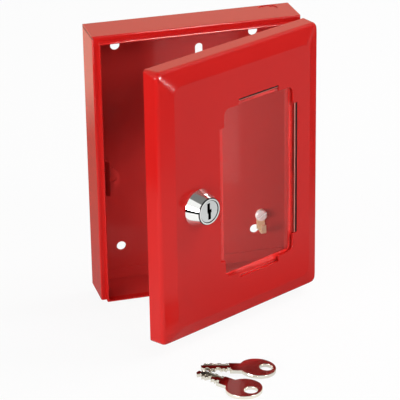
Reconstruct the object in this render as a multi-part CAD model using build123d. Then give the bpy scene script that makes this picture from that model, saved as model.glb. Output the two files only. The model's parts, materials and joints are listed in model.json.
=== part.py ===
from build123d import *
import math
import os

os.makedirs("parts", exist_ok=True)

# A wall box of folded, painted sheet steel for one emergency key, with its door part open.
# It is drawn with X 0 on the case's centre line, Y 0 on the wall and Z 0 at the case's bottom.
# The front faces -Y. At the end everything moves to the centre of the fixing holes (ORIGIN).
# Millimetres and degrees throughout.

# ---- case ---------------------------------------------------------------------------
CASE_W = 120.0
CASE_H = 160.0
CASE_D = 26.0  # wall to the front of the shoulder
SHEET = 1.0
SHOULDER = 2.8  # the flange round the mouth that faces the front
NECK = 3.6  # how far the neck stands in front of the shoulder
BACK_BEND = 2.5  # outside radius of the bends between the back and the walls
FRONT_BEND = 1.0  # outside radius where a wall turns into the shoulder
SEAM = 0.25  # open seam between the top wall and each side wall

FIX_DX = 81.0  # fixing holes, centre to centre
FIX_DZ = 124.0
FIX_R = 2.75
FIX_X = -1.0  # centre of the four holes
FIX_Z = 83.0

HANG_X = 7.4  # keyhole slot to hang the box on a screw
HANG_TOP = 141.0
HANG_SLOT_R = 2.25
HANG_HEAD_R = 4.6
HANG_RUN = 9.5  # from the slot's centre down to the head hole's centre

KNOCK_IN = 13.5  # half-sheared cable knockout in the top wall, from the case's right side
KNOCK_Y = -7.6
KNOCK_R = 5.5
KNOCK_SINK = 0.4
KNOCK_TAB = 1.2
KNOCK_TAB_TURNS = (55, 105)

UPSTAND = 6.0  # rear flange of the bottom panel, above its floor

# ---- catch that the lock's cam hooks behind -------------------------------------------
CATCH_T = 1.5
CATCH_Z = 74.1
CATCH_H = 20.7
CATCH_TIP = 13.5  # reach from the outside of the left wall
CATCH_BEND = 7.7  # where the slanted part meets the tongue, from the outside of the left wall
CATCH_FOOT = 11.2  # length of the foot that is spot-welded to the left wall
CATCH_R = 8.0  # rounding of the tongue
CATCH_HOLE_R = 2.0
CATCH_HOLE_IN = 4.1  # from the tongue's tip to the hole's centre
CATCH_GAP = 0.1  # behind the shoulder

# ---- key hook on the back wall ----------------------------------------------------------
HOOK_IN = 16.8  # from the case's right side
HOOK_W = 5.0
HOOK_T = 1.0
HOOK_SCREW_Z = 29.9
HOOK_LOW_Z = 21.0
HOOK_HEAD = 3.6  # strip above the screw's centre
HOOK_REACH = 7.0  # how far the hook stands out from the back wall
HOOK_LIP = 4.4
HOOK_ARM_W = 3.0
HOOK_ROUND = 2.4  # top corners of the strip
SCREW_HEAD_R = 3.5
SCREW_HEAD_H = 2.0
SCREW_HEAD_ROUND = 0.9
SCREW_R = 1.5
SCREW_SLOT = 0.9
SCREW_SLOT_TURN = 35

# ---- hinge --------------------------------------------------------------------------------
DOOR_GAP = 4.0  # shoulder to the rim of the closed door, filled by the hinge's barrel
BARREL_R = 2.0
PIN_R = 1.0
PIN_FIT = 0.05
LEAF_T = 0.8
HINGE_OUT = 1.0  # barrel's axis beyond the side of the case
HINGE_MARGIN = 4.0  # hinge ends, from the case's top and bottom
KNUCKLES = 13
KNUCKLE_GAP = 0.3
LEAF_A_CLEAR = 0.4  # case leaf stops this far short of the neck
LEAF_B_RUN = 7.5  # door leaf along the inside of the door's wall
LEAF_CUT = 0.5  # room round the other leaf's knuckles
OPEN_ANGLE = 26.75  # door angle at rest

# ---- door -----------------------------------------------------------------------------------
DOOR_D = 13.5
BEVEL_W = 9.3
BEVEL_SLOPE = 20.0
RIM_CORNER = 1.6
WALL_CORNER = 3.8
FACE_CORNER = 6.0
EDGE_ROUND = 2.9
CREASE_ROUND = 2.0

WIN_SIDE_IN = 22.6  # window's body, from the hinge side
WIN_LOCK_IN = 19.2  # window's body, from the lock's axis
WIN_Z = 78.7
WIN_H = 100.4
EAR_OUT = 3.4  # how far each ear stands out from the body
EAR_TALL = 79.5  # side ears
EAR_WIDE = 30.0  # top and bottom ears
WIN_CORNER = 4.0
FLAP = 5.0  # depth of the flap turned back at each ear, from the door's face
FLAP_ROUND = 0.6
TAB_W = 8.0  # small tabs at the flaps' ends, turned over the retainer
TAB_LEN = 2.4
TAB_SPREAD = 27.0

PANE_T = 2.0
PANE_FIT = 0.25
RETAINER_T = 1.0
RETAINER_BAND = 4.0

# ---- cam lock ---------------------------------------------------------------------------------
LOCK_IN = 25.8  # from the door's free side
LOCK_Z = 77.6
ROSETTE_BASE_R = 10.8
ROSETTE_FACE_R = 7.5
ROSETTE_H = 8.5
ROSETTE_FOOT = 0.8  # straight part at the rosette's base
ROSETTE_ROUND = 0.4
BODY_R = 8.0
BODY_FLAT = 6.8  # half the width across the body's two flats
HOLE_FIT = 0.15
HEAD_R = 6.5  # the plug's round face
HEAD_T = 2.4
HEAD_ROUND = 0.3
HEAD_SET = 0.5  # face of the plug behind the rosette's rim
PLUG_R = 5.5
PLUG_FIT = 0.05
KEY_SLOT_H = 9.6
KEY_SLOT_W = 2.0
KEY_SLOT_STEP = 0.3
KEY_SLOT_DEPTH = 21.0
KEY_WARD_W = 3.0  # wider part in the slot's middle
WASHER_T = 0.8
WASHER_R = 11.3
WASHER_NICKS = 12
NICK_DEEP = 1.0
NICK_W = 1.6
NUT_T = 3.5
NUT_AF = 21.0  # across the flats
NUT_R = 11.5  # turned corners
CAM_T = 2.0
CAM_W = 10.0
CAM_REACH = 17.0
CAM_HUB_R = 7.0
CAM_CORNER = 3.0
CAM_GAP = 0.4  # behind the catch
CAM_RUN = 0.2  # between the turning cam and the lock's body
SQUARE = 6.0  # square end of the plug
SQUARE_FIT = 0.05
SQUARE_SHORT = 0.2  # so that the screw clamps the cam
CAM_WASHER_T = 0.8
CAM_WASHER_R = 5.0
CAM_SCREW_R = 2.0
CAM_SCREW_LEN = 8.0
CAM_HEAD_R = 3.8
CAM_HEAD_H = 2.4
CAM_HEAD_ROUND = 0.95
CROSS_LEN = 4.4
CROSS_W = 0.8
SCREW_END_ROOM = 0.5
WAFERS = 5
WAFER_T = 0.8
WAFER_W = 3.8
WAFER_H = 10.1
WAFER_SIDE = 0.7  # metal beside the window for the blade
WAFER_BRIDGE = 1.2  # and above and below it
WAFER_PITCH = 2.4
WAFER_FIT = 0.1
WAFER_FIRST = 4.0  # first wafer, behind the plug's round face
WAFER_TRAVEL = 0.8
LUG_OUT = 1.4
LUG_T = 1.0
SPRING_R = 0.45
SPRING_L = 2.4

# ---- keys on the surface in front ----------------------------------------------------------------
KEY_T = 2.0
KEY_BOW_R = 10.0
KEY_HOLE_R = 3.65
KEY_HOLE_OFF = 4.6
KEY_BLADE_W = 7.6
KEY_LEN = 41.0
KEY_NECK_W = 8.6
KEY_NECK_LEN = 5.5
KEY_GROOVE_W = 1.6
KEY_GROOVE_D = 0.55
KEY_GRID = 0.1  # the cuts and nicks are set out in these tenths: from the tip, depth
KEY_CUTS = ((32, 24), (62, 12), (92, 28), (122, 16), (150, 22))
KEY_CUT_FLAT = 1.0
KEY_CUT_SPREAD = 0.6  # a cut's slope, along the blade over its depth
KEY_NICKS = ((40, 7), (80, 5), (125, 6))
KEY_NICK_W = 2.4
KEY_POINT = 2.5  # length of the blade's pointed end
KEY_1_X = 3.1  # bow's centre
KEY_1_Y = -125.5
KEY_1_TURN = 169.0  # direction of the blade
KEY_1_TILT = 4.3  # its blade lies on the other key's blade
KEY_2_X = -10.2
KEY_2_Y = -144.0
KEY_2_TURN = 127.0
SURFACE = -5.5  # the surface that the keys lie on, which the open door swings over

# ---- worked out from the sizes above ----------------------------------------------------------------
SIDE = CASE_W / 2
IN_SIDE = SIDE - SHEET
NECK_X = SIDE - SHOULDER
NECK_Z = CASE_H - SHOULDER
NECK_Y = -CASE_D - NECK
RIM_Y = -CASE_D - DOOR_GAP
HINGE_X = SIDE + HINGE_OUT
HOOK_X = SIDE - HOOK_IN
KNOCK_X = SIDE - KNOCK_IN
LOCK_X = LOCK_IN - SIDE
WIN_W = SIDE - WIN_SIDE_IN - (LOCK_X + WIN_LOCK_IN)  # body of the window
WIN_X = SIDE - WIN_SIDE_IN - WIN_W / 2
HINGE_Y = -CASE_D - DOOR_GAP / 2
HINGE_LINE = Axis((HINGE_X, HINGE_Y, 0), (0, 0, 1))
ORIGIN = Location((-FIX_X, 0, -FIX_Z))
FAR = 3 * CASE_H
NEAR = 0.01  # slack for picking out edges at a height

CATCH_FACE = -CASE_D + SHEET + CATCH_GAP  # front face of the catch's tongue
CAM_V = RIM_Y - (CATCH_FACE + CATCH_T + CAM_GAP)  # cam's front face, in the door's depth
BODY_END_V = CAM_V + CAM_RUN


def block(x0, x1, y0, y1, z0, z1):
    """A box between two corners."""
    centre = Location(((x0 + x1) / 2, (y0 + y1) / 2, (z0 + z1) / 2))
    return centre * Box(abs(x1 - x0), abs(y1 - y0), abs(z1 - z0))


def bar_y(x, z, radius, y0, y1):
    """A round bar along Y."""
    return Location((x, (y0 + y1) / 2, z), (90, 0, 0)) * Cylinder(radius, abs(y1 - y0))


def bar_z(x, y, radius, z0, z1):
    """A round bar along Z."""
    return Location((x, y, (z0 + z1) / 2)) * Cylinder(radius, abs(z1 - z0))


def plate_xy(points, z0, z1):
    """A prism along Z over an outline given in X and Y."""
    face = make_face(Polyline(*[(x, y, z0) for x, y in points], close=True))
    return extrude(face, amount=z1 - z0, dir=(0, 0, 1))


# The door is drawn closed in its own frame: x as X, y as Z, z outwards from the rim.
DOOR_FRAME = Plane(origin=(0, RIM_Y, 0), x_dir=(1, 0, 0), z_dir=(0, -1, 0)).location
# The lock's own frame: the same directions, with its axis at x 0, y 0.
LOCK_FRAME = DOOR_FRAME * Location((LOCK_X, LOCK_Z, 0))


def opened(shape):
    """Turn a piece of the closed door to its place at rest."""
    return shape.rotate(HINGE_LINE, OPEN_ANGLE)


# ---- case ---------------------------------------------------------------------------


def fixing_points():
    return [
        (FIX_X + sx * FIX_DX / 2, FIX_Z + sz * FIX_DZ / 2)
        for sx in (-1, 1)
        for sz in (-1, 1)
    ]


def hang_slot():
    """Keyhole slot through the back wall."""
    slot_z = HANG_TOP - HANG_SLOT_R
    head_z = slot_z - HANG_RUN
    cut = bar_y(HANG_X, slot_z, HANG_SLOT_R, -2 * SHEET, SHEET)
    cut += block(HANG_X - HANG_SLOT_R, HANG_X + HANG_SLOT_R, -2 * SHEET, SHEET, head_z, slot_z)
    cut += bar_y(HANG_X, head_z, HANG_HEAD_R, -2 * SHEET, SHEET)
    return cut


def knockout(shell):
    """Sink a half-sheared disc into the top wall, with two tabs left standing at its rear."""
    sunk = bar_z(KNOCK_X, KNOCK_Y, KNOCK_R, CASE_H - KNOCK_SINK, CASE_H + SHEET)
    for turn in KNOCK_TAB_TURNS:
        angle = math.radians(turn)
        x = KNOCK_X + KNOCK_R * math.cos(angle)
        y = KNOCK_Y + KNOCK_R * math.sin(angle)
        tab = Location((x, y, CASE_H), (0, 0, turn)) * Box(2 * KNOCK_TAB, KNOCK_TAB, 2 * SHEET)
        sunk -= tab
    inner = CASE_H - SHEET
    return shell - sunk + bar_z(KNOCK_X, KNOCK_Y, KNOCK_R, inner - KNOCK_SINK, inner)


def case_shell():
    outer = block(-SIDE, SIDE, -CASE_D, 0, 0, CASE_H)
    back = outer.edges().filter_by(Axis.Z).group_by(Axis.Y)[-1]
    back += outer.edges().filter_by(Axis.X).group_by(Axis.Y)[-1].sort_by(Axis.Z)[-1:]
    outer = fillet(back, BACK_BEND)
    front = outer.edges().filter_by(Axis.Z).group_by(Axis.Y)[0]
    front += outer.edges().filter_by(Axis.X).group_by(Axis.Y)[0].sort_by(Axis.Z)[-1:]
    outer = fillet(front, FRONT_BEND)

    hollow = block(-IN_SIDE, IN_SIDE, -CASE_D + SHEET, -SHEET, -SHEET, CASE_H - SHEET)
    rear = hollow.edges().filter_by(Axis.Z).group_by(Axis.Y)[-1]
    rear += hollow.edges().filter_by(Axis.X).group_by(Axis.Y)[-1].sort_by(Axis.Z)[-1:]
    hollow = fillet(rear, BACK_BEND - SHEET)

    inner_x = NECK_X - SHEET
    mouth = block(-inner_x, inner_x, NECK_Y - SHEET, -CASE_D + 2 * SHEET, -SHEET, NECK_Z - SHEET)
    neck = block(-NECK_X, NECK_X, NECK_Y, -CASE_D + SHEET / 2, SHEET, NECK_Z)
    top = neck.edges().filter_by(Axis.Y).sort_by(Axis.Z)[-2:]
    neck = fillet(top, FRONT_BEND)
    shell = outer - hollow + neck - mouth
    shell -= bottom_panel()

    for x, z in fixing_points():
        shell -= bar_y(x, z, FIX_R, -2 * SHEET, SHEET)
    shell -= hang_slot()
    shell -= bar_y(HOOK_X, HOOK_SCREW_Z, SCREW_R + PIN_FIT, -2 * SHEET, SHEET)
    for side in (-1, 1):
        seam_z = CASE_H - SHEET
        wall = sorted((side * (IN_SIDE - SHEET), side * (SIDE + SHEET)))
        shell -= block(wall[0], wall[1], -CASE_D + SHEET, -BACK_BEND, seam_z - SEAM, seam_z)
    return knockout(shell)


def bottom_panel():
    """Floor of the case, with an upstand at the wall and a lip that runs out to the neck's edge."""
    floor = block(-IN_SIDE, IN_SIDE, -CASE_D + SHEET, -SHEET, 0, SHEET)
    lip = block(-NECK_X, NECK_X, NECK_Y, -CASE_D + SHEET, 0, SHEET)
    stand = block(-IN_SIDE + BACK_BEND, IN_SIDE - BACK_BEND, -2 * SHEET, -SHEET, 0, SHEET + UPSTAND)
    return floor + lip + stand


def catch_bracket():
    """Sheet catch: a foot on the left wall, a slanted part and a round-ended tongue."""
    half_turn = CATCH_T * math.tan(math.radians(22.5))
    tip = -SIDE + CATCH_TIP
    bend = -SIDE + CATCH_BEND
    knee = CATCH_FACE + (bend + IN_SIDE)
    outline = [
        (-IN_SIDE, knee + CATCH_FOOT),
        (-IN_SIDE, knee),
        (bend, CATCH_FACE),
        (tip, CATCH_FACE),
        (tip, CATCH_FACE + CATCH_T),
        (bend + half_turn, CATCH_FACE + CATCH_T),
        (-IN_SIDE + CATCH_T, knee + half_turn),
        (-IN_SIDE + CATCH_T, knee + CATCH_FOOT),
    ]
    low = CATCH_Z - CATCH_H / 2
    catch = plate_xy(outline, low, low + CATCH_H)
    tongue = block(bend, tip + CATCH_T, -CASE_D, 0, low - CATCH_T, low + CATCH_H + CATCH_T)
    rounded = bar_y(tip - CATCH_R, CATCH_Z, CATCH_R, -CASE_D, 0)
    catch -= tongue - rounded
    return catch - bar_y(tip - CATCH_HOLE_IN, CATCH_Z, CATCH_HOLE_R, -CASE_D, 0)


def key_hook():
    """Brass strip under the screw, turned out and up into a hook."""
    low = HOOK_LOW_Z
    front = -SHEET - HOOK_REACH
    high = HOOK_SCREW_Z + HOOK_HEAD
    strip = block(HOOK_X - HOOK_W / 2, HOOK_X + HOOK_W / 2, -SHEET - HOOK_T, -SHEET, low, high)
    top = strip.edges().filter_by(Axis.Y).sort_by(Axis.Z)[-2:]
    strip = fillet(top, HOOK_ROUND)
    left = HOOK_X - HOOK_ARM_W / 2
    right = HOOK_X + HOOK_ARM_W / 2
    arm = block(left, right, front, -SHEET, low - HOOK_T, low)
    lip = block(left, right, front, front + HOOK_T, low - HOOK_T, low + HOOK_LIP)
    hook = strip + arm + lip
    foot = low - HOOK_T
    outer = hook.edges().filter_by(Axis.X).filter_by_position(Axis.Z, foot - NEAR, foot + NEAR)
    hook = fillet(outer.sort_by(Axis.Y)[:1], HOOK_T)
    return hook - bar_y(HOOK_X, HOOK_SCREW_Z, SCREW_R + PIN_FIT, -3 * SHEET, 0)


def key_hook_screw():
    """Slotted pan-head screw, its end flush with the back of the case."""
    seat = -SHEET - HOOK_T
    head = bar_y(HOOK_X, HOOK_SCREW_Z, SCREW_HEAD_R, seat - SCREW_HEAD_H, seat)
    rim = head.edges().filter_by(GeomType.CIRCLE).sort_by(Axis.Y)[:1]
    head = fillet(rim, SCREW_HEAD_ROUND)
    floor = seat - SCREW_HEAD_H / 2
    half = SCREW_SLOT / 2
    slot = block(-SCREW_HEAD_R, SCREW_HEAD_R, floor - SCREW_HEAD_H, floor, -half, half)
    slot = Location((HOOK_X, 0, HOOK_SCREW_Z), (0, -SCREW_SLOT_TURN, 0)) * slot
    return head - slot + bar_y(HOOK_X, HOOK_SCREW_Z, SCREW_R, seat, 0)


# ---- hinge --------------------------------------------------------------------------------


def knuckle_spans():
    """Low and high Z of each knuckle, from the bottom."""
    pitch = (CASE_H - 2 * HINGE_MARGIN) / KNUCKLES
    lows = [HINGE_MARGIN + i * pitch for i in range(KNUCKLES)]
    return [(z + KNUCKLE_GAP / 2, z + pitch - KNUCKLE_GAP / 2) for z in lows]


def with_knuckles(leaf, first):
    """Add every second knuckle to a leaf, cut the leaf back at the others, and bore it."""
    low = HINGE_MARGIN
    high = CASE_H - HINGE_MARGIN
    for i, (z0, z1) in enumerate(knuckle_spans()):
        if i % 2 == first:
            leaf += bar_z(HINGE_X, HINGE_Y, BARREL_R, z0, z1)
        else:
            room = KNUCKLE_GAP
            leaf -= bar_z(HINGE_X, HINGE_Y, BARREL_R + LEAF_CUT, z0 - room, z1 + room)
    return leaf - bar_z(HINGE_X, HINGE_Y, PIN_R + PIN_FIT, low - PIN_R, high + PIN_R)


def case_hinge_leaf():
    """Leaf on the right shoulder, turned out along the side of the neck."""
    z0 = HINGE_MARGIN
    z1 = CASE_H - HINGE_MARGIN
    flat = block(NECK_X, HINGE_X, -CASE_D - LEAF_T, -CASE_D, z0, z1)
    turned = block(NECK_X, NECK_X + LEAF_T, NECK_Y + LEAF_A_CLEAR, -CASE_D, z0, z1)
    return with_knuckles(flat + turned, 0)


def door_hinge_leaf():
    """Leaf behind the door's rim, turned in along the inside of the door's wall."""
    z0 = HINGE_MARGIN
    z1 = CASE_H - HINGE_MARGIN
    inner = IN_SIDE - LEAF_T
    flat = block(inner, HINGE_X, RIM_Y, RIM_Y + LEAF_T, z0, z1)
    run = block(inner, IN_SIDE, RIM_Y - LEAF_B_RUN, RIM_Y + LEAF_T, z0, z1)
    return opened(with_knuckles(flat + run, 1))


def hinge_pin():
    return bar_z(HINGE_X, HINGE_Y, PIN_R, HINGE_MARGIN, CASE_H - HINGE_MARGIN)


# ---- door -----------------------------------------------------------------------------------


def pan(inset, depth):
    """Solid pressed pan: straight walls, a sloped border and a flat face, inset evenly."""
    slope = math.radians(BEVEL_SLOPE)
    crease = BEVEL_W + (inset / math.cos(slope) - inset) / math.tan(slope)
    foot = depth - (crease - inset) * math.tan(slope)
    width = CASE_W - 2 * inset
    height = CASE_H - 2 * inset
    rim = RectangleRounded(width, height, RIM_CORNER - inset / 2)
    wall = Pos(0, 0, foot) * RectangleRounded(width, height, WALL_CORNER - inset / 2)
    face = RectangleRounded(CASE_W - 2 * crease, CASE_H - 2 * crease, FACE_CORNER - inset / 2)
    face = Pos(0, 0, depth) * face
    solid = Pos(0, CASE_H / 2, 0) * loft([rim, wall, face], ruled=True)
    border = solid.edges().filter_by_position(Axis.Z, foot - NEAR, foot + NEAR)
    solid = fillet(border, EDGE_ROUND - inset)
    face_edges = solid.edges().filter_by_position(Axis.Z, depth - NEAR, depth + NEAR)
    return fillet(face_edges, CREASE_ROUND)


def at_window(shape):
    """Place a shape that is drawn round the window's centre, in the door's frame."""
    return Location((WIN_X, WIN_Z, 0)) * shape


def ears():
    """Width and height of the two rectangles that the window's ears span."""
    return [(WIN_W + 2 * EAR_OUT, EAR_TALL), (EAR_WIDE, WIN_H + 2 * EAR_OUT)]


def window_cut():
    body = extrude(RectangleRounded(WIN_W, WIN_H, WIN_CORNER), amount=FAR)
    for width, height in ears():
        body += extrude(Rectangle(width, height), amount=FAR)
    return at_window(Pos(0, 0, DOOR_D / 2) * body)


def flap(length, out):
    """A flap turned back along one side of the window, drawn to lie along x at y = out."""
    back = DOOR_D - FLAP
    strip = block(-length / 2, length / 2, out, out + SHEET, back, DOOR_D - SHEET / 2)
    edge = strip.edges().filter_by(Axis.X).sort_by(Axis.Y)[-2:].sort_by(Axis.Z)[:1]
    strip = fillet(edge, FLAP_ROUND)
    spread = (-TAB_SPREAD, TAB_SPREAD) if length > 2 * TAB_SPREAD else (0,)
    for at in spread:
        strip += block(at - TAB_W / 2, at + TAB_W / 2, out - TAB_LEN, out + SHEET / 2, back, back + SHEET)
    return strip


def flaps():
    half_w = WIN_W / 2 + EAR_OUT
    half_h = WIN_H / 2 + EAR_OUT
    pieces = []
    for turn in (0, 180):
        pieces.append(at_window(Rot(0, 0, turn) * flap(EAR_WIDE, half_h)))
        pieces.append(at_window(Rot(0, 0, turn + 90) * flap(EAR_TALL, half_w)))
    return pieces


def body_section(radius, flat):
    """Round bar with two flats, as a face across the lock's axis."""
    return Circle(radius) & Rectangle(2 * radius, 2 * flat)


def door_shell():
    shell = pan(0, DOOR_D) - pan(SHEET, DOOR_D - SHEET)
    shell -= window_cut()
    for piece in flaps():
        shell += piece
    hole = extrude(body_section(BODY_R + HOLE_FIT, BODY_FLAT + HOLE_FIT), amount=FAR)
    shell -= Location((LOCK_X, LOCK_Z, DOOR_D / 2)) * hole
    return opened(DOOR_FRAME * shell)


def pane_outline():
    """Rectangle between the flaps, less the room round it."""
    width = WIN_W + 2 * (EAR_OUT - PANE_FIT)
    height = WIN_H + 2 * (EAR_OUT - PANE_FIT)
    return RectangleRounded(width, height, EAR_OUT)


def break_pane():
    pane = extrude(pane_outline(), amount=PANE_T)
    return opened(DOOR_FRAME * at_window(Pos(0, 0, DOOR_D - SHEET - PANE_T) * pane))


def pane_retainer():
    outline = pane_outline()
    size = outline.bounding_box().size
    inside = Rectangle(size.X - 2 * RETAINER_BAND, size.Y - 2 * RETAINER_BAND)
    frame = extrude(outline - inside, amount=RETAINER_T)
    return opened(DOOR_FRAME * at_window(Pos(0, 0, DOOR_D - SHEET - PANE_T - RETAINER_T) * frame))


# ---- cam lock ---------------------------------------------------------------------------------


def rod(radius, v0, v1):
    """A round bar along the lock's axis, between two depths in the door's frame."""
    return Pos(0, 0, (v0 + v1) / 2) * Cylinder(radius, abs(v1 - v0))


def wafer_depths():
    first = DOOR_D + ROSETTE_H - HEAD_SET - WAFER_FIRST - WAFER_T / 2
    return [first - i * WAFER_PITCH for i in range(WAFERS)]


def lock_housing():
    """Chromed rosette and body in one casting, grooved for the wafers where the key comes out."""
    foot = rod(ROSETTE_BASE_R, DOOR_D, DOOR_D + ROSETTE_FOOT)
    taper = Pos(0, 0, DOOR_D + (ROSETTE_FOOT + ROSETTE_H) / 2)
    taper *= Cone(ROSETTE_BASE_R, ROSETTE_FACE_R, ROSETTE_H - ROSETTE_FOOT)
    rosette = foot + taper
    rim = rosette.edges().filter_by(GeomType.CIRCLE).sort_by(Axis.Z)[-1:]
    rosette = fillet(rim, ROSETTE_ROUND)
    barrel = extrude(body_section(BODY_R, BODY_FLAT), amount=DOOR_D - BODY_END_V)
    housing = rosette + Pos(0, 0, BODY_END_V) * barrel
    face = DOOR_D + ROSETTE_H
    housing -= rod(HEAD_R + PLUG_FIT, face - HEAD_SET - HEAD_T - PLUG_FIT, face + HEAD_SET)
    housing -= rod(PLUG_R + PLUG_FIT, BODY_END_V - CAM_RUN, face)
    depths = wafer_depths()
    top = PLUG_R + WAFER_TRAVEL + WAFER_FIT
    groove_w = WAFER_W / 2 + 2 * WAFER_FIT
    low = depths[-1] - WAFER_T
    high = depths[0] + WAFER_T
    housing -= block(-groove_w, groove_w, 0, top, low, high)
    housing -= block(0, top, -groove_w, groove_w, low, high)
    return opened(LOCK_FRAME * housing)


def lock_washer():
    """Toothed washer between the nut and the inside of the door."""
    inner = DOOR_D - SHEET
    washer = rod(WASHER_R, inner - WASHER_T, inner)
    washer -= rod(BODY_R + HOLE_FIT, inner - 2 * WASHER_T, inner + WASHER_T)
    step = 360 / WASHER_NICKS
    for i in range(WASHER_NICKS):
        nick = Pos(WASHER_R, 0, inner - WASHER_T / 2) * Box(2 * NICK_DEEP, NICK_W, 2 * WASHER_T)
        washer -= Rot(0, 0, (i + 0.5) * step) * nick
    return opened(LOCK_FRAME * washer)


def lock_nut():
    high = DOOR_D - SHEET - WASHER_T
    hexagon = RegularPolygon(NUT_AF / 2, 6, major_radius=False)
    outline = (hexagon & Circle(NUT_R)) - Circle(BODY_R + PLUG_FIT)
    nut = Pos(0, 0, high - NUT_T) * extrude(outline, amount=NUT_T)
    return opened(LOCK_FRAME * nut)


def key_way():
    """Stepped slot for the key's blade, as a face across the plug."""
    half = KEY_SLOT_H / 2
    upper = Pos(-KEY_SLOT_STEP, half / 2) * Rectangle(KEY_SLOT_W, half)
    lower = Pos(KEY_SLOT_STEP, -half / 2) * Rectangle(KEY_SLOT_W, half)
    wing = Pos(KEY_SLOT_STEP, 0) * Rectangle(KEY_WARD_W, KEY_SLOT_W)
    return upper + lower + wing


def wafer_room(v):
    """Slot in the plug for one wafer and its spring."""
    wide = WAFER_W / 2 + WAFER_FIT
    thick = WAFER_T / 2 + WAFER_FIT
    slot = block(-wide, wide, -2 * PLUG_R, 2 * PLUG_R, v - thick, v + thick)
    out = WAFER_W / 2 + LUG_OUT + WAFER_FIT
    side = max(thick, SPRING_R + WAFER_FIT)
    slot += block(0, out, -SPRING_L, LUG_T + WAFER_TRAVEL + WAFER_FIT, v - side, v + side)
    return slot


def lock_plug():
    face = DOOR_D + ROSETTE_H - HEAD_SET
    head = rod(HEAD_R, face - HEAD_T, face)
    rim = head.edges().filter_by(GeomType.CIRCLE).sort_by(Axis.Z)[-1:]
    head = fillet(rim, HEAD_ROUND)
    plug = head + rod(PLUG_R, CAM_V, face - HEAD_T)
    half = SQUARE / 2
    plug += block(-half, half, -half, half, CAM_V - CAM_T + SQUARE_SHORT, CAM_V)
    plug -= Pos(0, 0, face - KEY_SLOT_DEPTH) * extrude(key_way(), amount=FAR)
    for v in wafer_depths():
        plug -= wafer_room(v)
    bore_end = CAM_V - CAM_T + CAM_SCREW_LEN + SCREW_END_ROOM
    plug -= rod(CAM_SCREW_R + PLUG_FIT, CAM_V - 2 * CAM_T, bore_end)
    return opened(LOCK_FRAME * plug)


def lock_wafers():
    """One thin plate per cut of the key, each with a window for the blade and a lug for its spring."""
    plates = []
    outline = Rectangle(WAFER_W, WAFER_H)
    outline += Pos((WAFER_W / 2 + LUG_OUT) / 2, LUG_T / 2) * Rectangle(WAFER_W / 2 + LUG_OUT, LUG_T)
    outline -= Rectangle(WAFER_W - 2 * WAFER_SIDE, WAFER_H - 2 * WAFER_BRIDGE)
    for v in wafer_depths():
        plate = Pos(0, 0, v - WAFER_T / 2) * extrude(outline, amount=WAFER_T)
        plates.append(opened(LOCK_FRAME * plate))
    return Compound(plates)


def wafer_springs():
    """Small coil springs under the wafers' lugs, as plain round bars inside the plug."""
    x = WAFER_W / 2 + LUG_OUT / 2
    bars = []
    for v in wafer_depths():
        bar = Location((x, -SPRING_L / 2, v), (90, 0, 0)) * Cylinder(SPRING_R, SPRING_L)
        bars.append(opened(LOCK_FRAME * bar))
    return Compound(bars)


def cam():
    """Flat cam, pointing down while the lock is open."""
    hub = Circle(CAM_HUB_R)
    arm = Pos(0, -CAM_REACH / 2) * Rectangle(CAM_W, CAM_REACH)
    arm = fillet(arm.vertices().sort_by(Axis.Y)[:2], CAM_CORNER)
    hole = Rectangle(SQUARE + 2 * SQUARE_FIT, SQUARE + 2 * SQUARE_FIT)
    plate = extrude(hub + arm - hole, amount=CAM_T)
    return opened(LOCK_FRAME * (Pos(0, 0, CAM_V - CAM_T) * plate))


def cam_washer():
    seat = CAM_V - CAM_T
    ring = rod(CAM_WASHER_R, seat - CAM_WASHER_T, seat)
    ring -= rod(CAM_SCREW_R + PLUG_FIT, seat - 2 * CAM_WASHER_T, seat + CAM_WASHER_T)
    return opened(LOCK_FRAME * ring)


def cam_screw():
    seat = CAM_V - CAM_T - CAM_WASHER_T
    head = rod(CAM_HEAD_R, seat - CAM_HEAD_H, seat)
    rim = head.edges().filter_by(GeomType.CIRCLE).sort_by(Axis.Z)[:1]
    head = fillet(rim, CAM_HEAD_ROUND)
    cross = Pos(0, 0, seat - CAM_HEAD_H) * Box(CROSS_LEN, CROSS_W, CAM_HEAD_H)
    head -= cross + Rot(0, 0, 90) * cross
    screw = head + rod(CAM_SCREW_R, seat, CAM_V - CAM_T + CAM_SCREW_LEN)
    return opened(LOCK_FRAME * screw)


# ---- keys ----------------------------------------------------------------------------------------


def key_blank():
    """A key lying flat with its bow's centre at the origin and its blade along +X."""
    tip = KEY_LEN - KEY_BOW_R
    half = KEY_BLADE_W / 2
    neck = KEY_BOW_R + KEY_NECK_LEN
    blade = Polyline(
        (0, -half),
        (tip - KEY_POINT, -half),
        (tip, -half / 3),
        (tip, half / 3),
        (tip - KEY_POINT, half),
        (0, half),
        close=True,
    )
    profile = make_face(blade) + Circle(KEY_BOW_R)
    profile += Pos(neck / 2, 0) * Rectangle(neck, KEY_NECK_W)
    profile -= Pos(-KEY_HOLE_OFF, 0) * Circle(KEY_HOLE_R)
    for from_tip, deep in KEY_CUTS:
        profile -= cut_in_edge(tip - from_tip * KEY_GRID, half, deep * KEY_GRID)
    for from_tip, deep in KEY_NICKS:
        profile -= Pos(tip - from_tip * KEY_GRID, -half) * Rectangle(KEY_NICK_W, 2 * deep * KEY_GRID)
    key = extrude(profile, amount=KEY_T)
    low = -half / 3 - KEY_GROOVE_W
    key -= block(neck, FAR, low, low + KEY_GROOVE_W, -KEY_T, KEY_GROOVE_D)
    key -= block(neck, FAR, low, low + KEY_GROOVE_W, KEY_T - KEY_GROOVE_D, 2 * KEY_T)
    return key


def cut_in_edge(x, half, deep):
    """One V cut in the blade's +Y edge, with a flat bottom."""
    flat = KEY_CUT_FLAT / 2
    points = [
        (x - flat, half - deep),
        (x + flat, half - deep),
        (x + flat + deep * KEY_CUT_SPREAD, half),
        (x - flat - deep * KEY_CUT_SPREAD, half),
    ]
    return make_face(Polyline(*points, close=True))


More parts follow.
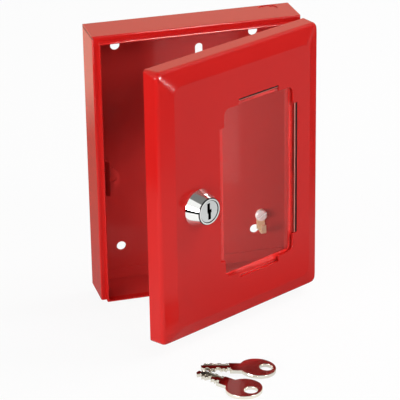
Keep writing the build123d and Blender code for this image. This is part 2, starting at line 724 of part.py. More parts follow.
def key_1():
    """The upper key: its bow lies on the surface and its blade on the other key's blade."""
    key = Pos(KEY_BOW_R, 0, 0) * key_blank()
    key = Pos(-KEY_BOW_R, 0, 0) * (Rot(0, -KEY_1_TILT, 0) * key)
    return Location((KEY_1_X, KEY_1_Y, SURFACE), (0, 0, KEY_1_TURN)) * key


def key_2():
    return Location((KEY_2_X, KEY_2_Y, SURFACE), (0, 0, KEY_2_TURN)) * key_blank()


PIECES = (
    case_shell,
    bottom_panel,
    catch_bracket,
    key_hook,
    key_hook_screw,
    case_hinge_leaf,
    door_hinge_leaf,
    hinge_pin,
    door_shell,
    break_pane,
    pane_retainer,
    lock_housing,
    lock_washer,
    lock_nut,
    lock_plug,
    lock_wafers,
    wafer_springs,
    cam,
    cam_washer,
    cam_screw,
    key_1,
    key_2,
)

for piece in PIECES:
    export_step(ORIGIN * piece(), "parts/" + piece.__name__ + ".step")
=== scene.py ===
"""A break-glass key box of red sheet steel with two loose keys, in a plain white studio.

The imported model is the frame. It gets its finishes here, a few small pieces that only
the picture needs, the floor, the lights and the camera of the photograph.
Metres; +Z is up and the wall lies behind the box, at Y 0.
"""

import json
import math

import bpy
from mathutils import Matrix, Vector


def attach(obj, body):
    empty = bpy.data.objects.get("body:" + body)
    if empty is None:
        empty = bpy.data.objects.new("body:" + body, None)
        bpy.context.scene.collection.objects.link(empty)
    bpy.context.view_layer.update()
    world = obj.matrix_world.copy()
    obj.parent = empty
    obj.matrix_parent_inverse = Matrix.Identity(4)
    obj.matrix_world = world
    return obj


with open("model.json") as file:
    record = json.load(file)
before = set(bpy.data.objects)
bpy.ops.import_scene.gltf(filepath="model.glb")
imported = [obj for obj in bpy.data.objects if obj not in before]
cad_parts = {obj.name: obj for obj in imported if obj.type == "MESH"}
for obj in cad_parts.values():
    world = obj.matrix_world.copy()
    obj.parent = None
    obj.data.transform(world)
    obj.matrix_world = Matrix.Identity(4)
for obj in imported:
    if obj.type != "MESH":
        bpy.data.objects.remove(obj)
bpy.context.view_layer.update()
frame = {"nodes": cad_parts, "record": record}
nodes = frame["nodes"]

# ---------------------------------------------------------------- places on the box

MM = 0.001
FLOOR_Z = -88.5 * MM  # what the keys lie on
DOOR_TURN = math.radians(26.75)  # how far the door stands open at rest
HINGE = Vector((62 * MM, -28 * MM, 0))  # its axis

CASE_MIDDLE_X = 1 * MM
CASE_INSIDE = (  # per axis, where its inside begins and where it ends, as soft steps in mm
    ("X", (-58.6, -58.3), (60.3, 60.6)),
    ("Y", (-25.6, -25.2), (-0.7, -0.3)),
    ("Z", (-82.6, -82.3), (76.3, 76.6)),
)
SEAM_HEIGHT = ((75.5, 75.7), (76.1, 76.3))  # the open seams under the top wall, where painted shadow goes, the same way
SEAM_FROM_MIDDLE = (59.2 * MM, 59.4 * MM)

# The lock with the door shut: the middle of its front, and what lies in shade round it.
LOCK_FACE = Vector((-33.2 * MM, -52.0 * MM, -5.4 * MM))
PLUG_GAP_SHADE = (6.15 * MM, 6.8 * MM)  # radii of the painted shadow in the gap round the plug
ROSETTE_GROOVE_SHADE = (7.3 * MM, 7.75 * MM)
RIM_SOFTNESS = 0.08 * MM
KEY_SLOT_SHADE_DEPTH = (1.0 * MM, 1.3 * MM)  # where the painted shade in the key slot begins
KEY_SLOT_REACH = (-1 * MM, 5 * MM)  # radii round the lock's axis

BOW_1 = Vector((4.1 * MM, -125.5 * MM, FLOOR_Z))  # the middles of the keys' bows
BOW_2 = Vector((-9.2 * MM, -144.0 * MM, FLOOR_Z))
KEY_SHOULDER = (10 * MM, 14 * MM)  # from the bow's middle to where the blade starts

MOUTH_MIDDLE = (1.0 * MM, -29.35 * MM, -4.4 * MM)
MOUTH_WIDE = 113.4 * MM
MOUTH_TALL = 156.2 * MM
MOUTH_CORNER = 0.8 * MM
MOUTH_ROUND = 0.5 * MM  # radius of the coat on the mouth's edge

TOP_EAR = (-2.5, 26.9)  # ends of the painted strips in the window's ears, in mm with the door shut
SIDE_EAR = (-43.7, 35.1)
STRIP_BACK = -42.56
# Dark strips are painted shadow in the gap at the pane's edge; pale ones its painted highlight.
PAINTED_EAR_STRIPS = (  # each strip's finish and its lowest and highest corner, the same way
    ("dark_seal_top", "painted_gap_shadow", (TOP_EAR[0], -43.38, 48.45), (TOP_EAR[1], STRIP_BACK, 49.27)),
    ("dark_seal_side", "painted_gap_shadow", (40.72, -43.42, SIDE_EAR[0]), (41.78, STRIP_BACK, SIDE_EAR[1])),
    ("pale_seal_top", "painted_edge_highlight", (TOP_EAR[0], -43.2, 48.0), (TOP_EAR[1], STRIP_BACK, 48.4)),
    ("pale_seal_side", "painted_edge_highlight", (40.25, -43.2, SIDE_EAR[0]), (40.67, STRIP_BACK, SIDE_EAR[1])),
)
STRIP_EDGE = 0.08 * MM
STRIP_HOLLOW = 0.05 * MM

EDGE_ROUNDS = {  # softened edges of the cut, cast and ground pieces, in mm
    "case_shell": 0.3,
    "bottom_panel": 0.22,
    "catch_bracket": 0.25,
    "door_shell": 0.22,
    "case_hinge_leaf": 0.15,
    "door_hinge_leaf": 0.15,
    "pane_retainer": 0.2,
    "break_pane": 0.35,
    "key_hook": 0.15,
    "lock_plug": 0.12,
    "lock_nut": 0.2,
    "cam": 0.2,
    "key_1": 0.2,
    "key_2": 0.2,
}
SAME_CORNER = 0.001 * MM
SHARP_EDGE = math.radians(38)  # and more is softened

# ---------------------------------------------------------------- light in the studio

# What paint and chrome mirror of the floor is a painted glow: its brightness from front to back
# and from left to right, over the square of 1 m round the box.
FLOOR_SQUARE = (-0.5, 0.5)
FLOOR_BY_DEPTH = (
    (0.0, 0.2),
    (0.12, 0.35),
    (0.24, 1.0),
    (0.41, 1.0),
    (0.46, 0.5),
    (0.55, 0.28),
    (0.74, 0.29),
    (0.84, 0.93),
)
FLOOR_BY_SIDE = ((0.235, 0.0), (0.25, 1.0), (0.58, 1.0), (0.68, 0.68))
FLOOR_BEHIND = (-0.02, 0.04)  # Y where the floor behind the box starts
FLOOR_RIGHT = (0.04, 0.1)  # X where the floor to its right starts
FLOOR_RIGHT_BEHIND = 0.3  # the brightness left where both meet
UNDER_BOX = (30 * MM, -30 * MM, FLOOR_Z)  # the middle of the box's own shade
SHADE_REACH = (60 * MM, 130 * MM)  # from there to where it has faded
FLOOR_UNDER_BOX = 0.35  # the brightness left in it
WARM_FLOOR = (-0.05, 0.15)  # Y where the warm tone comes in
FLOOR_GLOW = 0.92  # how white the floor is to the camera

# What they mirror of the room: brightness over the sine of the height angle, and a dark side.
ROOM_BY_HEIGHT = ((0.0, 0.97), (0.79, 0.97), (0.83, 0.2))
ROOM_DARK_SIDE = (0.91, -0.41, 0.0)
DARK_SIDE_EDGE = (0.5, 0.85)  # cosines to that direction where it turns dark
DARK_SIDE_LEFT = 0.25  # the brightness left there
WARM_ROOM = (0.0, 0.5)  # sines towards the back where the warm tone comes in
MIRROR_NEUTRAL = (1.0, 1.0, 0.97)
MIRROR_WARM = (1.0, 0.86, 0.66)  # what lies behind the box
FILL = 0.04  # the room's own light on everything

LAMP_DISTANCE = 1.6
# Each lamp's azimuth (0 in front, negative to the left) and height in degrees, its width, its
# watts, and whether paint and chrome mirror it.
LAMPS = (
    ("left_light", -60, 4, 0.8, 30.0, True),
    ("right_light", 40, 30, 0.4, 5.7, True),
    ("front_light", 18, 24, 0.4, 2.7, False),
    ("side_light", 90, 50, 0.8, 17.0, False),
    ("back_light", 160, 70, 0.8, 5.0, False),
)

# The photograph's camera, fitted to the box's corners and holes in the picture.
CAMERA_PLACE = (-0.29372, -1.09205, 0.45667)
CAMERA_TURN = math.radians(-15.44)
CAMERA_TIP = math.radians(90 - 23.66)
CAMERA_ROLL = math.radians(-0.92)
CAMERA_LENS = 189.64  # mm, as its sensor
CAMERA_SENSOR = 36.0


# ---------------------------------------------------------------- node helpers


def new_node(tree, kind, **values):
    """A shader node with its plain properties set."""
    node = tree.nodes.new(kind)
    for name, value in values.items():
        setattr(node, name, value)
    return node


def feed(tree, value, socket):
    """Link an output to a socket, or set the socket to a plain value."""
    if isinstance(value, bpy.types.NodeSocket):
        tree.links.new(value, socket)
    else:
        socket.default_value = value


def calc(tree, operation, *values, clamp=False):
    """A Math node over outputs and plain numbers."""
    node = new_node(tree, "ShaderNodeMath", operation=operation, use_clamp=clamp)
    for number, value in enumerate(values):
        feed(tree, value, node.inputs[number])
    return node.outputs["Value"]


def product(tree, *values):
    """All of them multiplied."""
    result = values[0]
    for value in values[1:]:
        result = calc(tree, "MULTIPLY", result, value)
    return result


def vector_calc(tree, operation, *values):
    """The outputs of a Vector Math node."""
    node = new_node(tree, "ShaderNodeVectorMath", operation=operation)
    for number, value in enumerate(values):
        feed(tree, value, node.inputs[number])
    return node.outputs


def axes_of(tree, vector):
    """The X, Y and Z outputs of a vector."""
    node = new_node(tree, "ShaderNodeSeparateXYZ")
    tree.links.new(vector, node.inputs["Vector"])
    return node.outputs


def span(tree, value, source, target=(0.0, 1.0)):
    """Map Range: the first pair of numbers becomes the second, clamped."""
    node = new_node(tree, "ShaderNodeMapRange")
    node.inputs["From Min"].default_value = source[0]
    node.inputs["From Max"].default_value = source[1]
    node.inputs["To Min"].default_value = target[0]
    node.inputs["To Max"].default_value = target[1]
    tree.links.new(value, node.inputs["Value"])
    return node.outputs["Result"]


def between(tree, value, rise, fall):
    """1 after a soft step up and before a soft step down, else 0."""
    return product(tree, span(tree, value, rise), span(tree, value, fall, (1.0, 0.0)))


def between_mm(tree, value, rise, fall):
    """The same, with the steps in mm."""
    return between(tree, value, [end * MM for end in rise], [end * MM for end in fall])


def noise(tree, vector, scale, detail):
    node = new_node(tree, "ShaderNodeTexNoise")
    feed(tree, scale, node.inputs["Scale"])
    node.inputs["Detail"].default_value = detail
    tree.links.new(vector, node.inputs["Vector"])
    return node.outputs["Fac"]


def mix_colours(tree, fac, first, second):
    """The first colour where fac is 0 and the second where it is 1; each an output or a tuple."""
    node = new_node(tree, "ShaderNodeMix", data_type="RGBA")
    tree.links.new(fac, node.inputs["Factor"])
    for name, colour in (("A", first), ("B", second)):
        feed(tree, (*colour, 1) if isinstance(colour, tuple) else colour, node.inputs[name])
    return node.outputs["Result"]


def ramp(tree, value, stops):
    """Grey steps over a value: stops are (place, brightness)."""
    node = new_node(tree, "ShaderNodeValToRGB")
    points = node.color_ramp.elements
    points.remove(points[1])
    for number, (place, grey) in enumerate(stops):
        point = points.new(place) if number else points[0]
        point.position = place
        point.color = (grey, grey, grey, 1)
    tree.links.new(value, node.inputs["Fac"])
    return node.outputs["Color"]


def bump(tree, height, strength, distance):
    node = new_node(tree, "ShaderNodeBump")
    node.inputs["Strength"].default_value = strength
    node.inputs["Distance"].default_value = distance
    tree.links.new(height, node.inputs["Height"])
    return node.outputs["Normal"]


def blend_shaders(tree, fac, first, second):
    node = new_node(tree, "ShaderNodeMixShader")
    for number, output in enumerate((fac, first, second)):
        tree.links.new(output, node.inputs[number])
    return node.outputs["Shader"]


def plain_view_ray(tree):
    """1 where the camera sees the stage straight or through the pane, else 0."""
    rays = new_node(tree, "ShaderNodeLightPath").outputs
    return calc(tree, "MAXIMUM", rays["Is Camera Ray"], rays["Is Transmission Ray"])


def mirror_ray(tree):
    """1 where the ray comes from a mirroring face, and not through the pane."""
    rays = new_node(tree, "ShaderNodeLightPath").outputs
    return calc(tree, "SUBTRACT", rays["Is Glossy Ray"], rays["Is Transmission Ray"], clamp=True)


# ---------------------------------------------------------------- shared effects


def new_group(name, numbers, results):
    """A node group from a vector and numbers to masks, with its inlet and outlet sockets."""
    group = bpy.data.node_groups.new(name, "ShaderNodeTree")
    group.interface.new_socket("Vector", in_out="INPUT", socket_type="NodeSocketVector")
    for label, value in numbers:
        socket = group.interface.new_socket(label, in_out="INPUT", socket_type="NodeSocketFloat")
        socket.default_value = value
    for label in results:
        group.interface.new_socket(label, in_out="OUTPUT", socket_type="NodeSocketFloat")
    inlet = new_node(group, "NodeGroupInput").outputs
    outlet = new_node(group, "NodeGroupOutput").inputs
    return group, inlet, outlet


def make_mottle_group():
    """Soft blotches and fine grain, as two masks from 0 to 1."""
    numbers = (("Blotch Scale", 40.0), ("Grain Scale", 900.0))
    group, inlet, outlet = new_group("mottle", numbers, ("Blotch", "Grain"))
    for scale, result, detail in (("Blotch Scale", "Blotch", 4.0), ("Grain Scale", "Grain", 2.0)):
        cloud = noise(group, inlet["Vector"], inlet[scale], detail)
        group.links.new(span(group, cloud, (0.15, 0.85)), outlet[result])
    return group


def make_scratch_group():
    """Fine straight scratches that cross at two angles, as one mask."""
    group, inlet, outlet = new_group("scratches", (("Scale", 200.0),), ("Mask",))
    masks = []
    for turn in (0.5, 2.1):
        mapping = new_node(group, "ShaderNodeMapping")
        mapping.inputs["Rotation"].default_value = (turn, 0.3 * turn, turn)
        mapping.inputs["Scale"].default_value = (1.0, 0.04, 1.0)
        group.links.new(inlet["Vector"], mapping.inputs["Vector"])
        streaks = noise(group, mapping.outputs["Vector"], inlet["Scale"], 2.0)
        masks.append(span(group, streaks, (0.62, 0.7)))
    group.links.new(calc(group, "MAXIMUM", *masks), outlet["Mask"])
    return group


MOTTLE = make_mottle_group()
SCRATCHES = make_scratch_group()


def use_group(tree, group, vector, **values):
    """The group's outputs; an underscore in a name here is a space in the input's name."""
    node = new_node(tree, "ShaderNodeGroup", node_tree=group)
    tree.links.new(vector, node.inputs["Vector"])
    for name, value in values.items():
        node.inputs[name.replace("_", " ")].default_value = value
    return node.outputs


# ---------------------------------------------------------------- finishes


def start_material(name):
    """A new material with its tree, the sockets of its Principled shader and Object coordinates."""
    material = bpy.data.materials.new(name)
    material.use_nodes = True
    tree = material.node_tree
    shader = tree.nodes["Principled BSDF"].inputs
    coords = new_node(tree, "ShaderNodeTexCoord").outputs["Object"]
    return material, tree, shader, coords


def base_of(material):
    """The material's tree, its Base Color socket and the output that feeds it now."""
    tree = material.node_tree
    base = tree.nodes["Principled BSDF"].inputs["Base Color"]
    return tree, base, base.links[0].from_socket


def inside_case(tree, coords):
    """1 on the inner faces of the case, behind its shoulder, and 0 outside."""
    axes = axes_of(tree, coords)
    sides = [between_mm(tree, axes[axis], rise, fall) for axis, rise, fall in CASE_INSIDE]
    return product(tree, *sides)


def seam_shadow_mask(tree, coords):
    """1 along the open seams between the top wall and the side walls, where painted shadow goes."""
    axes = axes_of(tree, coords)
    across = calc(tree, "ABSOLUTE", calc(tree, "SUBTRACT", axes["X"], CASE_MIDDLE_X))
    level = between_mm(tree, axes["Z"], *SEAM_HEIGHT)
    return product(tree, level, span(tree, across, SEAM_FROM_MIDDLE))


def red_powder_coat(name, painted_haze_inside=False):
    """Glossy red coat with fine grain; the case's has painted haze inside, painted shadow in the
    seams.
    """
    material, tree, shader, coords = start_material(name)
    masks = use_group(tree, MOTTLE, coords, Blotch_Scale=22.0, Grain_Scale=650.0)
    colour = mix_colours(tree, masks["Blotch"], (0.54, 0.0105, 0.009), (0.57, 0.012, 0.01))
    rough = span(tree, masks["Blotch"], (0.0, 1.0), (0.1, 0.14))
    if painted_haze_inside:
        # Painted haze: the red is greyed on the case's inner faces, standing in for reflected neutral
        # light.
        colour = mix_colours(tree, inside_case(tree, coords), colour, (0.53, 0.032, 0.029))
        # Painted shadow in the open seams, with the gloss taken out there.
        seam_shade = seam_shadow_mask(tree, coords)
        colour = mix_colours(tree, seam_shade, colour, (0.05, 0.003, 0.002))
        rough = calc(tree, "MAXIMUM", rough, seam_shade)
    tree.links.new(colour, shader["Base Color"])
    tree.links.new(rough, shader["Roughness"])
    shader["IOR"].default_value = 1.33
    tree.links.new(bump(tree, masks["Grain"], 0.12, 0.04 * MM), shader["Normal"])
    return material


def metal(name, dark, light, rough, scratch_scale, metallic=1.0):
    """Blotched between two tones and two roughnesses, with fine scratches."""
    material, tree, shader, coords = start_material(name)
    blotch = use_group(tree, MOTTLE, coords, Blotch_Scale=90.0)["Blotch"]
    lines = use_group(tree, SCRATCHES, coords, Scale=scratch_scale)["Mask"]
    tree.links.new(mix_colours(tree, blotch, dark, light), shader["Base Color"])
    tree.links.new(span(tree, blotch, (0.0, 1.0), rough), shader["Roughness"])
    tree.links.new(bump(tree, lines, 0.15, 0.02 * MM), shader["Normal"])
    shader["Metallic"].default_value = metallic
    return material


def lock_coords(tree):
    """Coordinates with the door turned shut, measured from the middle of the lock's front."""
    mapping = new_node(tree, "ShaderNodeMapping")
    shut = Matrix.Rotation(-DOOR_TURN, 3, "Z")
    mapping.inputs["Rotation"].default_value = (0, 0, -DOOR_TURN)
    mapping.inputs["Location"].default_value = HINGE - shut @ HINGE - LOCK_FACE
    coords = new_node(tree, "ShaderNodeTexCoord").outputs["Object"]
    tree.links.new(coords, mapping.inputs["Vector"])
    return mapping.outputs["Vector"]


def ring_mask(tree, coords, radii):
    """1 between two radii about the Y axis of these coordinates, with soft sides."""
    flat = vector_calc(tree, "MULTIPLY", coords, (1, 0, 1))["Vector"]
    radius = vector_calc(tree, "LENGTH", flat)["Value"]
    rise, fall = [(edge - RIM_SOFTNESS, edge + RIM_SOFTNESS) for edge in radii]
    return between(tree, radius, rise, fall)


def lock_chrome(name, dark, light, rough, rim, paints_key_slot_shade=False):
    """Chrome with painted shadow in a ring at its rim, and painted shade deep in the key slot."""
    material = metal(name, dark, light, rough, 160.0)
    tree, base, colour = base_of(material)
    coords = lock_coords(tree)
    # Painted shadow in the ring of the gap at the rim.
    colour = mix_colours(tree, ring_mask(tree, coords, rim), colour, (0.03, 0.03, 0.035))
    if paints_key_slot_shade:
        # Painted shade deep inside the key slot.
        deep = span(tree, axes_of(tree, coords)["Y"], KEY_SLOT_SHADE_DEPTH)
        slot = product(tree, deep, ring_mask(tree, coords, KEY_SLOT_REACH))
        colour = mix_colours(tree, slot, colour, (0.01, 0.009, 0.008))
    tree.links.new(colour, base)
    return material


def key_metal(name, bow):
    """Nickel, bright on milled edges; flat faces and blade darker: a painted reflection of shade."""
    material = metal(name, (0.82, 0.78, 0.7), (0.9, 0.87, 0.8), (0.06, 0.11), 220.0)
    tree, base, colour = base_of(material)
    place = new_node(tree, "ShaderNodeTexCoord").outputs
    upward = calc(tree, "ABSOLUTE", axes_of(tree, place["Normal"])["Z"])
    flat = span(tree, upward, (0.85, 0.97))
    from_bow = vector_calc(tree, "DISTANCE", place["Object"], bow)["Value"]
    blade = span(tree, from_bow, KEY_SHOULDER)
    # Painted reflection: darker on the flat faces, darker still on the blade, for the shade they
    # mirror.
    tone = mix_colours(tree, blade, (0.46, 0.43, 0.41), (0.16, 0.14, 0.12))
    tree.links.new(mix_colours(tree, flat, colour, tone), base)
    return material


def clear_pane():
    """Thin clear plastic that casts no shadow."""
    material, tree, shader, coords = start_material("clear_pane")
    blotch = use_group(tree, MOTTLE, coords, Blotch_Scale=30.0)["Blotch"]
    shader["Base Color"].default_value = (1.0, 1.0, 0.99, 1)
    shader["Transmission Weight"].default_value = 1.0
    shader["IOR"].default_value = 1.22
    shader["Specular Tint"].default_value = (1.0, 0.95, 0.85, 1)
    tree.links.new(span(tree, blotch, (0.0, 1.0), (0.0, 0.03)), shader["Roughness"])
    glass = tree.nodes["Principled BSDF"].outputs["BSDF"]
    see_through = new_node(tree, "ShaderNodeBsdfTransparent").outputs["BSDF"]
    shadow_ray = new_node(tree, "ShaderNodeLightPath").outputs["Is Shadow Ray"]
    surface = blend_shaders(tree, shadow_ray, glass, see_through)
    tree.links.new(surface, tree.nodes["Material Output"].inputs["Surface"])
    return material


def painted_gap_shadow():
    """Near-black with hardly any gloss: painted shadow of the gap at the pane's edge."""
    dark, light = (0.006, 0.005, 0.005), (0.014, 0.012, 0.01)
    material = metal("painted_gap_shadow", dark, light, (0.6, 0.72), 300.0, metallic=0.0)
    shader = material.node_tree.nodes["Principled BSDF"].inputs
    shader["Specular IOR Level"].default_value = 0.15
    return material


FINISHES = {  # by slot
    "red_paint": red_powder_coat("red_powder_coat"),
    "clear_pane": clear_pane(),
    "zinc_plate": metal("zinc_plate", (0.5, 0.5, 0.48), (0.64, 0.65, 0.68), (0.26, 0.4), 260.0),
    "spring_steel": metal("spring_steel", (0.42, 0.42, 0.43), (0.55, 0.55, 0.56), (0.25, 0.4), 260.0),
}
# The case's coat carries painted haze on its inner faces and painted shadow in its seams.
CASE_COAT = red_powder_coat("case_powder_coat", painted_haze_inside=True)
OWN_FINISHES = {  # of pieces that differ from the rest of their slot
    "case_shell": CASE_COAT,
    "bottom_panel": CASE_COAT,
    "catch_bracket": CASE_COAT,
    "lock_plug": lock_chrome(
        "plug_chrome", (0.74, 0.76, 0.78), (0.82, 0.84, 0.86), (0.08, 0.14), PLUG_GAP_SHADE, True
    ),
    "lock_housing": lock_chrome(
        "rosette_chrome", (0.9, 0.91, 0.92), (0.97, 0.97, 0.97), (0.03, 0.06), ROSETTE_GROOVE_SHADE
    ),
    "lock_wafers": metal("dull_brass", (0.1, 0.08, 0.04), (0.16, 0.12, 0.06), (0.4, 0.5), 160.0),
    # Near white and hardly metallic: the screw head's highlight painted into its colour.
    "key_hook_screw": metal(
        "painted_screw_glint", (0.93, 0.93, 0.92), (0.98, 0.98, 0.97), (0.35, 0.45), 260.0, metallic=0.1
    ),
    "key_hook": metal(
        "pale_brass", (0.88, 0.68, 0.4), (0.97, 0.82, 0.56), (0.3, 0.4), 240.0, metallic=0.35
    ),
    "key_1": key_metal("key_1_nickel", BOW_1),
    "key_2": key_metal("key_2_nickel", BOW_2),
}
PAINTED_STRIP_FINISHES = {
    "painted_gap_shadow": painted_gap_shadow(),
    # Pale strips: a painted highlight of the pane's edge.
    "painted_edge_highlight": metal(
        "painted_edge_highlight", (0.55, 0.15, 0.12), (0.62, 0.2, 0.17), (0.3, 0.4), 300.0, metallic=0.0
    ),
}

slot_of = {piece["node"]: piece["material_slot"] for piece in frame["record"]["subparts"]}
for name, piece in nodes.items():
    for material_slot in piece.material_slots:
        material_slot.material = OWN_FINISHES.get(name) or FINISHES[slot_of[name]]
    if name in EDGE_ROUNDS:
        weld = piece.modifiers.new("join_corners", "WELD")
        weld.merge_threshold = SAME_CORNER
        soft = piece.modifiers.new("soften_edges", "BEVEL")
        soft.width = EDGE_ROUNDS[name] * MM
        soft.segments = 2
        soft.limit_method = "ANGLE"
        soft.angle_limit = SHARP_EDGE
        soft.harden_normals = True


# ---------------------------------------------------------------- small pieces


def place_into_mesh():
    """Put the place, turn and size of what was just added into its mesh."""
    bpy.ops.object.transform_apply(location=True, rotation=True, scale=True)


def edit_all():
    """Edit mode with the whole mesh selected."""
    bpy.ops.object.mode_set(mode="EDIT")
    bpy.ops.mesh.select_all(action="SELECT")


def mouth_bead():
    """The rounded coat on the raw edge of the case's neck."""
    bpy.ops.object.select_all(action="DESELECT")
    upright = (math.radians(90), 0, 0)
    bpy.ops.mesh.primitive_plane_add(size=1.0, location=MOUTH_MIDDLE, rotation=upright)
    bead = bpy.context.object
    bead.name = "mouth_bead"
    bead.scale = (MOUTH_WIDE, MOUTH_TALL, 1)
    place_into_mesh()
    edit_all()
    bpy.ops.mesh.bevel(offset=MOUTH_CORNER, segments=3, affect="VERTICES")
    bpy.ops.mesh.delete(type="ONLY_FACE")
    bpy.ops.object.mode_set(mode="OBJECT")
    bpy.ops.object.convert(target="CURVE")
    bead.data.bevel_depth = MOUTH_ROUND
    bead.data.bevel_resolution = 4
    bpy.ops.object.convert(target="MESH")
    edit_all()
    bpy.ops.mesh.normals_make_consistent(inside=False)
    bpy.ops.object.mode_set(mode="OBJECT")
    bpy.ops.object.shade_smooth_by_angle(angle=math.radians(40))
    bead.data.materials.append(FINISHES["red_paint"])
    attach(bead, "case")
    return bead


def painted_ear_strip(name, finish, low, high):
    """A strip of painted shadow or highlight between the pane and an ear's flap, hollowed along its
    front.

    Its corners are in mm with the door shut.
    """
    low, high = Vector(low) * MM, Vector(high) * MM
    bpy.ops.object.select_all(action="DESELECT")
    bpy.ops.mesh.primitive_cube_add(size=1.0, location=(low + high) / 2, scale=high - low)
    strip = bpy.context.object
    strip.name = name
    place_into_mesh()
    edit_all()
    bpy.ops.mesh.bevel(offset=STRIP_EDGE, segments=2, affect="EDGES")
    bpy.ops.mesh.select_all(action="DESELECT")
    bpy.ops.object.mode_set(mode="OBJECT")
    min(strip.data.polygons, key=lambda face: face.center.y).select = True
    bpy.ops.object.mode_set(mode="EDIT")
    bpy.ops.mesh.inset(thickness=STRIP_EDGE, depth=-STRIP_HOLLOW)
    bpy.ops.object.mode_set(mode="OBJECT")
    swing = Matrix.Translation(HINGE) @ Matrix.Rotation(DOOR_TURN, 4, "Z") @ Matrix.Translation(-HINGE)
    strip.matrix_world = swing @ strip.matrix_world
    place_into_mesh()
    strip.data.materials.append(finish)
    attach(strip, "door")


MOUTH_BEAD = mouth_bead()
# The ear strips of painted shadow and painted highlight.
for name, finish, low, high in PAINTED_EAR_STRIPS:
    painted_ear_strip(name, PAINTED_STRIP_FINISHES[finish], low, high)


# ---------------------------------------------------------------- stage


def white_card():
    """Pale floor: near white to the camera; paint and chrome mirror a painted, uneven glow in it."""
    material, tree, shader, coords = start_material("white_card")
    paper = noise(tree, coords, 60.0, 3.0)
    tree.links.new(mix_colours(tree, paper, (0.84,) * 3, (0.86,) * 3), shader["Base Color"])
    shader["Roughness"].default_value = 0.9
    shader["Specular IOR Level"].default_value = 0.2
    card = tree.nodes["Principled BSDF"].outputs["BSDF"]
    seen = new_node(tree, "ShaderNodeEmission").outputs["Emission"]
    share = calc(tree, "MULTIPLY", plain_view_ray(tree), FLOOR_GLOW)
    surface = blend_shaders(tree, share, card, seen)

    axes = axes_of(tree, coords)
    depth = ramp(tree, span(tree, axes["Y"], FLOOR_SQUARE), FLOOR_BY_DEPTH)
    side = ramp(tree, span(tree, axes["X"], FLOOR_SQUARE), FLOOR_BY_SIDE)
    corner = product(tree, span(tree, axes["Y"], FLOOR_BEHIND), span(tree, axes["X"], FLOOR_RIGHT))
    corner = span(tree, corner, (0.0, 1.0), (1.0, FLOOR_RIGHT_BEHIND))
    away = vector_calc(tree, "DISTANCE", coords, UNDER_BOX)["Value"]
    shade = span(tree, away, SHADE_REACH, (FLOOR_UNDER_BOX, 1.0))
    warmth = span(tree, axes["Y"], WARM_FLOOR)
    mirrored = new_node(tree, "ShaderNodeEmission")
    feed(tree, mix_colours(tree, warmth, MIRROR_NEUTRAL, MIRROR_WARM), mirrored.inputs["Color"])
    feed(tree, product(tree, depth, side, corner, shade), mirrored.inputs["Strength"])
    surface = blend_shaders(tree, mirror_ray(tree), surface, mirrored.outputs["Emission"])
    tree.links.new(surface, tree.nodes["Material Output"].inputs["Surface"])
    return material


def studio_floor():
    bpy.ops.object.select_all(action="DESELECT")
    bpy.ops.mesh.primitive_plane_add(size=6.0, location=(0, 0, FLOOR_Z))
    floor = bpy.context.object
    floor.name = "studio_floor"
    place_into_mesh()
    floor.data.materials.append(white_card())


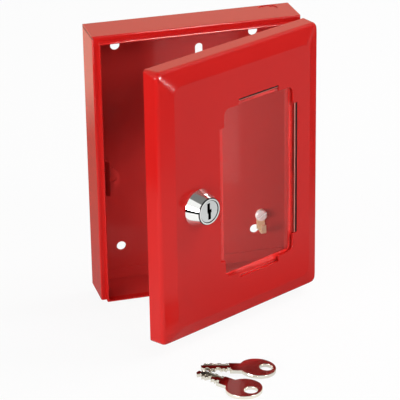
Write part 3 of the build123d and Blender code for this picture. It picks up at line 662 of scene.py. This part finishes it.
def studio_world():
    """Even fill for the lighting, white to the camera, and a room with a dark side to mirrors."""
    world = bpy.data.worlds.new("studio_world")
    bpy.context.scene.world = world
    world.use_nodes = True
    tree = world.node_tree
    fill = tree.nodes["Background"]
    fill.inputs["Color"].default_value = (1, 1, 1, 1)
    fill.inputs["Strength"].default_value = FILL
    white = new_node(tree, "ShaderNodeBackground").outputs["Background"]
    surface = blend_shaders(tree, plain_view_ray(tree), fill.outputs["Background"], white)

    coords = new_node(tree, "ShaderNodeTexCoord").outputs["Generated"]
    axes = axes_of(tree, coords)
    height = ramp(tree, axes["Z"], ROOM_BY_HEIGHT)
    toward = vector_calc(tree, "DOT_PRODUCT", coords, ROOM_DARK_SIDE)["Value"]
    dark = span(tree, toward, DARK_SIDE_EDGE, (1.0, DARK_SIDE_LEFT))
    warmth = span(tree, axes["Y"], WARM_ROOM)
    mirrored = new_node(tree, "ShaderNodeBackground")
    feed(tree, mix_colours(tree, warmth, MIRROR_NEUTRAL, MIRROR_WARM), mirrored.inputs["Color"])
    feed(tree, product(tree, height, dark), mirrored.inputs["Strength"])
    surface = blend_shaders(tree, mirror_ray(tree), surface, mirrored.outputs["Background"])
    tree.links.new(surface, tree.nodes["World Output"].inputs["Surface"])


def soft_lamp(name, azimuth, height, size, power, mirrored):
    """A square lamp in this direction from the box, turned towards it."""
    data = bpy.data.lights.new(name, "AREA")
    data.shape = "SQUARE"
    data.size = size
    data.energy = power
    lamp = bpy.data.objects.new(name, data)
    bpy.context.scene.collection.objects.link(lamp)
    turn = math.radians(azimuth)
    lift = math.radians(height)
    way = Vector((math.sin(turn) * math.cos(lift), -math.cos(turn) * math.cos(lift), math.sin(lift)))
    lamp.location = way * LAMP_DISTANCE
    lamp.rotation_euler = (-way).to_track_quat("-Z", "Y").to_euler()
    lamp.visible_glossy = mirrored
    return lamp


def glint_lamp(name, piece, azimuth, height, size, power):
    """A small lamp that only shows as a highlight in the paint of one piece."""
    lamp = soft_lamp(name, azimuth, height, size, power, True)
    lamp.visible_diffuse = False
    lamp.visible_transmission = False
    lit = bpy.data.collections.new(name)
    lit.objects.link(piece)
    lamp.light_linking.receiver_collection = lit


def photo_camera():
    data = bpy.data.cameras.new("photo_camera")
    data.lens = CAMERA_LENS
    data.sensor_width = CAMERA_SENSOR
    camera = bpy.data.objects.new("photo_camera", data)
    bpy.context.scene.collection.objects.link(camera)
    turn = Matrix.Rotation(CAMERA_TURN, 4, "Z")
    tip = Matrix.Rotation(CAMERA_TIP, 4, "X")
    roll = Matrix.Rotation(CAMERA_ROLL, 4, "Z")
    camera.matrix_world = Matrix.Translation(CAMERA_PLACE) @ turn @ tip @ roll
    bpy.context.scene.camera = camera


studio_floor()
studio_world()
for lamp in LAMPS:
    soft_lamp(*lamp)
glint_lamp("ridge_glint", nodes["door_shell"], 18, 24, 0.15, 36.0)
glint_lamp("corner_glint", nodes["door_shell"], 36, 3, 0.3, 24.0)
glint_lamp("bend_glint", nodes["case_shell"], 25, 52, 0.5, 20.0)
glint_lamp("mouth_glint", MOUTH_BEAD, 25, 52, 0.6, 110.0)
photo_camera()
bpy.context.scene.view_settings.view_transform = "Standard"
